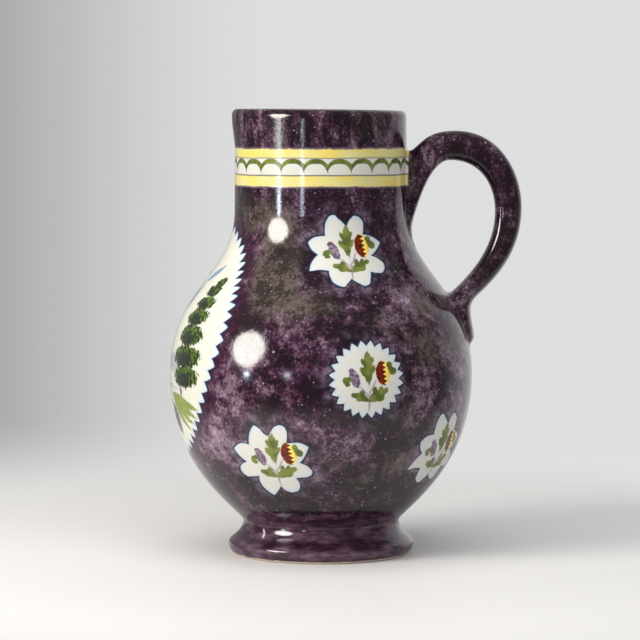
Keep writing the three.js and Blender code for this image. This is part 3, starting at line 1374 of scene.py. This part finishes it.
@dataclass(frozen=True)
class Medallion:
    """The large toothed medallion below the pouring lip, with a landscape."""

    arc: float = 112.8
    teeth: int = 60
    depth: float = 3.3
    size: tuple = (
        (-90, 55.0), (-45, 55.0), (-20, 55.4), (0, 56.7), (14, 55.5), (30, 52.9),
        (44, 52.5), (58, 55.0), (72, 57.0), (90, 59.0),
    )
    tree: tuple = (
        (29.4, 29.2, 3.4, 3.2, 0), (28.8, 24.8, 5.4, 3.2, 0), (29.6, 18.6, 7.2, 3.6, 0),
        (30.0, 11.4, 9.2, 4.3, 0), (31.0, 2.6, 11.0, 4.8, 0), (31.2, -6.8, 13.4, 5.1, 0),
        (32.0, -15.6, 12.4, 5.0, 0), (-33.0, -10.0, 4.4, 2.6, 0), (-33.5, -4.6, 3.4, 2.2, 0),
        (-33.2, 0.2, 2.1, 1.9, 0), (-24.5, -13.5, 3.8, 2.2, 0), (-24.8, -9.0, 2.4, 1.9, 0),
    )
    grass: tuple = (
        ("s", 13.0, -24.0, 43.0, -30.0, 2.2), ("s", 14.0, -24.5, 41.0, -34.0, 1.9),
        ("s", 15.0, -25.0, 37.5, -37.5, 1.8), ("s", 15.5, -26.0, 32.5, -40.5, 1.7),
        ("s", -8.0, -30.0, -40.0, -20.0, 2.0), ("s", -4.0, -34.0, -34.0, -32.0, 2.1),
        ("s", 8.0, -42.0, -20.0, -40.0, 1.8),
    )
    rock: tuple = (
        ("s", 13.0, -28.0, 20.0, -43.0, 4.6), ("s", 12.0, -28.0, -10.0, -31.0, 1.9),
        ("s", -42.0, -14.5, -18.0, -17.0, 1.1), ("s", 28.0, -19.5, 28.6, -25.5, 1.1),
        ("s", -33.0, -12.0, -33.2, -16.5, 0.7),
    )
    sky: tuple = (
        ("s", 22.0, 38.6, 11.0, 28.6, 1.9), ("s", 11.6, 30.0, 8.6, 13.0, 2.3),
        ("s", -6.0, 26.0, -27.0, 31.0, 1.7), ("s", -14.0, 18.0, -33.0, 22.0, 1.4),
        ("s", -2.0, 41.0, -16.0, 37.5, 1.5), ("s", 6.0, 34.0, -4.0, 31.5, 1.1),
        ("s", -22.0, 42.0, -31.0, 37.0, 1.2),
    )
    hills: tuple = (
        (-4.0, -9.5, 17.0, 5.0, 0), (-24.0, -10.5, 15.0, 6.4, 0), (16.0, -10.5, 10.0, 3.6, 0),
        (-6.0, -21.5, 24.0, 1.0, 0),
    )
    birds: tuple = (
        ("s", -8.0, 12.6, -5.0, 13.4, 0.55), ("s", -5.0, 13.4, -2.4, 12.0, 0.55),
        ("s", -16.0, 9.4, -13.6, 10.4, 0.5), ("s", -13.6, 10.4, -11.4, 9.2, 0.5),
    )

    def paint(self, layers: Layers, colour: Term) -> tuple[Term, Term]:
        """The medallion over a colour, and where it is.

        Args:
            layers: The place on the jug.
            colour: What lies below.

        Returns:
            The colour and the mask.
        """
        sheet = layers.sheet
        wobble = (sheet.noise(layers.place, 7.0, 1.0, 0.5, offset=41.0) - 0.5) * 1.4
        u = sheet.math("ARCTAN2", -layers.y, -layers.x) * layers.radius
        v = layers.arc - self.arc
        turn = sheet.math("ARCTAN2", v, abs(u)) * (180 / math.pi)
        rows = [(angle / 180 + 0.5, size / 100, "AUTO") for angle, size in self.size]
        radius = sheet.curve(turn / 180.0 + 0.5, rows) * 100.0
        share = sheet.math("FRACT", (turn - 2.2 + wobble * 0.8) * (self.teeth / 360.0) + 60.5)
        saw = abs(share * 2.0 - 1.0)
        edge = radius - saw**1.3 * self.depth
        away = sheet.length(u, v) - edge
        mask = away.inside(0.25)
        plum = sheet.noise(layers.place, 3.0, 2.0, 0.6, offset=53.0).step(0.36, 0.6)
        plum = away.step(9.0, 2.0) * (0.35 + plum * 0.5)
        colour = sheet.blend(plum, colour, Ink.PLUM)
        ground = sheet.blend(away.step(-4.0, -0.5) * 0.85, Ink.CREAM, Ink.ICE)
        colour = sheet.blend(mask, colour, ground)
        rim = (abs(away - 0.25) - 0.7).inside(0.5)
        colour = sheet.blend(rim * 0.9, colour, Ink.OUTLINE)
        brush = Brush(sheet, u + wobble, v - wobble)
        fine = sheet.noise(layers.place, 1.5, 3.0, 0.65, offset=17.0)
        lime = sheet.blend(fine.step(0.4, 0.6), Ink.LEAF, Ink.LIME)
        cores = [(x - 1, y - ry * 0.3, rx * 0.62, ry * 0.7, 0) for x, y, rx, ry, _ in self.tree]
        dark = (brush.dabs(cores) + (fine - 0.48) * 5.0).inside(1.6)
        fir = sheet.blend(fine.step(0.42, 0.58), Ink.FIR, Ink.FRESH)
        fir = sheet.blend(dark * 0.85, fir, Ink.NIGHT)
        # Marks, raggedness, softness, strength and ink, from the far to the near.
        passes = (
            (self.sky, 0.5, 0.8, 0.85, Ink.SKY),
            (self.hills, 2.4, 1.8, 0.55, Ink.HAZE),
            (self.birds, 0.0, 0.3, 1.0, Ink.ROCK),
            (self.grass, 1.6, 0.5, 0.95, lime),
            (self.rock, 0.8, 0.6, 0.9, Ink.ROCK),
            (self.tree, 4.6, 0.5, 1.0, fir),
        )
        for marks, ragged, soft, strength, ink in passes:
            mark = (brush.dabs(marks) + (fine - 0.5) * ragged).inside(soft)
            colour = sheet.blend(mark * strength, colour, ink)
        return colour, mask


@dataclass(frozen=True)
class Glaze:
    """Tin glaze, sponged purple outside and white inside, with painted reserves."""

    outline: Outline
    roughness: float = 0.11
    bare_roughness: float = 0.7
    index: float = 1.53
    specular: float = 0.38
    relief_strength: float = 0.35
    relief_depth: float = 0.00018

    def layers(self, sheet: Sheet) -> Layers:
        """The place on the jug, read from object coordinates and the stored arc.

        Args:
            sheet: The material's sheet.

        Returns:
            The place.
        """
        where = sheet.term("ShaderNodeTexCoord", "Object")
        place = sheet.scaled(where, 1000.0)
        x, y, z = sheet.split(place)
        arc = sheet.term("ShaderNodeAttribute", "Fac", settings={"attribute_name": "arc"})
        radius, angle = sheet.length(x, y), sheet.math("ARCTAN2", y, x)
        return Layers(sheet, place, x, y, z, radius, angle, arc)

    def material(self) -> bpy.types.Material:
        """Builds the material.

        Returns:
            The material.
        """
        made = bpy.data.materials.new("painted_glaze")
        made.use_nodes = True
        sheet = Sheet(made.node_tree)
        layers = self.layers(sheet)
        strap = sheet.term("ShaderNodeAttribute", "Fac", settings={"attribute_name": "strap"})
        body = 1.0 - strap.step(0.5, 1.3)
        sponged, pits = SpongedGround().paint(layers)
        ground, foot = self.foot(layers, sponged)
        painted, band = NeckBand().paint(layers, ground)
        painted, medal = Medallion().paint(layers, painted)
        painted, white = Reserves().paint(layers, painted)
        colour = sheet.blend(body, ground, painted)
        smooth = (band.high(medal).high(white) * body).high(foot)
        edge = sheet.noise(layers.place, 5.0, 2.0, 0.5, offset=3.0) * 6.0
        inside = (self.outline.lip_arc + 7.0 + edge - layers.arc).inside(1.0) * body
        colour = sheet.blend(inside, colour, Ink.WHITE)
        bare = (layers.z - 1.0 + (edge - 3.0) * 0.15).inside(0.5) * (1.0 - inside)
        colour = sheet.blend(bare, colour, Ink.CLAY)
        relief = pits * (1.0 - smooth.high(inside) * 0.85)
        values = {
            "Strength": self.relief_strength, "Distance": self.relief_depth, "Height": relief
        }
        bump = sheet.node("ShaderNodeBump", None, values)
        values = {
            "Base Color": colour,
            "Roughness": bare * self.bare_roughness + self.roughness,
            "IOR": self.index,
            "Specular IOR Level": self.specular,
            "Normal": bump.outputs[0],
        }
        shader = sheet.node("ShaderNodeBsdfPrincipled", None, values)
        sheet.node("ShaderNodeOutputMaterial", None, {0: shader.outputs[0]})
        return made

    def foot(self, layers: Layers, colour: Term) -> tuple[Term, Term]:
        """The plainer purple of the foot, with a band of painted shade, over the sponged ground,
        and where it is.

        Args:
            layers: The place on the jug.
            colour: What lies below.

        Returns:
            The colour and the mask.
        """
        sheet = layers.sheet
        flat = sheet.vector(layers.x, layers.y, layers.z * 3.0)
        fray = sheet.noise(layers.place, 5.0, 3.0, 0.6, offset=61.0)
        below = (layers.z - 19.0 - fray * 6.0).inside(1.6)
        tone = sheet.noise(flat, 9.0, 3.0, 0.6, offset=71.0).step(0.35, 0.75)
        plain = sheet.blend(tone, Ink.DUSK, Ink.HEATHER)
        # Painted shade: a dark band around the foot below its ridge, where shade falls in the
        # groove.
        groove_shade = (abs(layers.z - 8.4) - 0.9).inside(2.2)
        plain = sheet.blend(groove_shade * 0.8, plain, Ink.DEEP)
        brush = Brush(sheet, layers.x + 25.6, layers.z - 11.7)
        scar = brush.stroke(0.0, 2.1, 0.6, -0.4, 0.4).low(brush.stroke(0.7, 0.5, -0.5, -2.1, 0.5))
        scar = scar.inside(0.25) * (layers.y < 0)
        plain = sheet.blend(scar, plain, Ink.CHIP)
        edge = abs(layers.z - 20.5 - fray * 6.0) - 0.9
        colour = sheet.blend(edge.inside(2.0) * 0.75, colour, Ink.DEEP)
        return sheet.blend(below, colour, plain), below


# Stage


@dataclass
@dataclass(frozen=True)
class Lamp:
    """A round lamp that looks at a point, in metres and watts."""

    name: str
    toward: tuple[float, float, float]
    reach: float
    size: float
    power: float
    colour: tuple[float, float, float] = (1.0, 1.0, 1.0)
    aim: tuple[float, float, float] = (0.0, 0.0, 0.1)
    seen: bool = True

    def glint(self) -> "Lamp":
        """A weaker lamp just behind, for brighter reflections."""
        reach, size, power = self.reach + 0.03, self.size * 1.03, self.power * 0.45
        return replace(self, name=f"{self.name}_glint", reach=reach, size=size, power=power)

    def hang(self) -> bpy.types.Object:
        """Puts the lamp in the scene.

        Returns:
            The lamp's object.
        """
        data = bpy.data.lights.new(self.name, "AREA")
        data.shape = "DISK"
        data.size, data.energy, data.color = self.size, self.power, self.colour
        made = holder(self.name, data)
        way = Vector(self.toward).normalized()
        made.location = Vector(self.aim) + way * self.reach
        made.rotation_euler = way.to_track_quat("Z", "Y").to_euler()
        made.visible_glossy = self.seen
        return made


BELLY = (-0.032, -0.06, 0.094)
COOL = (0.75, 0.85, 1.0)
LAMPS = (
    Lamp("key", (-0.82, -0.47, 0.34), 1.0, 0.5, 11.8, (1.0, 0.96, 0.89), BELLY),
    Lamp("lamp_a", (-0.845, -0.53, 0.02), 1.3, 0.1, 0.9, COOL, BELLY),
    Lamp("lamp_b", (-0.426, -0.905, 0.05), 1.3, 0.09, 0.4, COOL, (-0.014, -0.066, 0.082)),
    Lamp("top", (-0.12, -0.4, 1.0), 1.3, 1.4, 12.5, seen=False),
    Lamp("fill", (0.55, -0.8, 0.45), 1.5, 1.6, 8.6, seen=False),
)


@dataclass(frozen=True)
class Studio:
    """The floor, the backdrop, the lights and the camera."""

    axis_column: float = 321.0
    focal_pixels: float = 3070.4
    distance: float = 1379.6
    camera_height: float = 207.5
    tilt: float = 4.249
    pixels: int = 640
    sensor: float = 36.0
    floor_radius: float = 1.2
    floor_sides: int = 64
    fade: tuple[float, float] = (0.19, 0.37)
    paper: tuple[float, float, float] = (0.68, 0.67, 0.657)

    def camera(self) -> None:
        """The camera at the photograph's viewing angle."""
        data = bpy.data.cameras.new("camera")
        data.sensor_width = self.sensor
        data.lens = self.focal_pixels * self.sensor / self.pixels
        made = holder("camera", data)
        aside = (self.axis_column - self.pixels / 2) * self.distance / self.focal_pixels
        made.location = Vector((-aside, -self.distance, self.camera_height)) * MM
        made.rotation_euler = Euler((math.radians(90 - self.tilt), 0, 0))
        bpy.context.scene.camera = made

    def build(self) -> None:
        """Sets the whole stage, with each visible lamp's glint just behind it."""
        self.camera()
        self.floor()
        self.world()
        for lamp in LAMPS:
            lamp.hang()
            if lamp.seen:
                lamp.glint().hang().visible_diffuse = False

    def floor(self) -> None:
        """A pale floor that fades into the backdrop."""
        mesh = bpy.data.meshes.new("floor")
        turn = np.linspace(0, math.tau, self.floor_sides + 1)[:-1]
        reach = self.floor_radius
        rim = [(reach * math.cos(a), reach * math.sin(a), 0.0) for a in turn]
        mesh.from_pydata(rim, [], [tuple(range(self.floor_sides))])
        paper = bpy.data.materials.new("floor_paper")
        paper.use_nodes = True
        sheet = Sheet(paper.node_tree)
        where = sheet.term("ShaderNodeTexCoord", "Object")
        x, y, _ = sheet.split(where)
        far = sheet.length(x, y).step(*self.fade)
        values = {"Base Color": full(self.paper), "Roughness": 0.6}
        body = sheet.node("ShaderNodeBsdfPrincipled", None, values)
        clear = sheet.node("ShaderNodeBsdfTransparent")
        values = {0: far, 1: body.outputs[0], 2: clear.outputs[0]}
        mixed = sheet.node("ShaderNodeMixShader", None, values)
        sheet.node("ShaderNodeOutputMaterial", None, {0: mixed.outputs[0]})
        mesh.materials.append(paper)
        holder("floor", mesh)

    def world(self) -> None:
        """A pale backdrop, darker to the left, and a dimmer room around it."""
        world = bpy.data.worlds.new("studio")
        bpy.context.scene.world = world
        world.use_nodes = True
        sheet = Sheet(world.node_tree)
        way = sheet.term("ShaderNodeTexCoord", "Generated")
        x, y, z = sheet.split(way)
        behind = sheet.blend(x.step(-0.15, -0.01), srgb(152, 150, 148), srgb(222, 222, 223))
        behind = sheet.blend(z.step(-0.104, -0.135), behind, srgb(226, 225, 223))
        right = x.step(0.12, 0.4) * 0.35
        behind = sheet.blend(right, behind, (1.3, 1.3, 1.32))
        left = x.step(-0.12, -0.35)
        behind = sheet.blend(left, behind, (0.3, 0.3, 0.31))
        room = sheet.blend(y.step(0.1, 0.75), (0.17, 0.17, 0.175), behind)
        room = sheet.blend(z.step(0.3, 0.9) * 0.6, room, (0.35, 0.35, 0.36))
        back_light = sheet.node("ShaderNodeBackground", None, {"Color": room, "Strength": 1.0})
        sheet.node("ShaderNodeOutputWorld", None, {0: back_light.outputs[0]})


def main() -> None:
    """Builds the jug and its stage."""
    logging.basicConfig(level=logging.INFO, format="%(name)s: %(message)s")
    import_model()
    form = ClayForm()
    jug = form.build(Glaze(form.outline).material())
    log.info("jug: %d faces", len(jug.data.polygons))
    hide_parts("jug")
    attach(jug, "root")
    Studio().build()
    bpy.context.scene.view_settings.view_transform = "Standard"


if __name__ == "__main__":
    main()
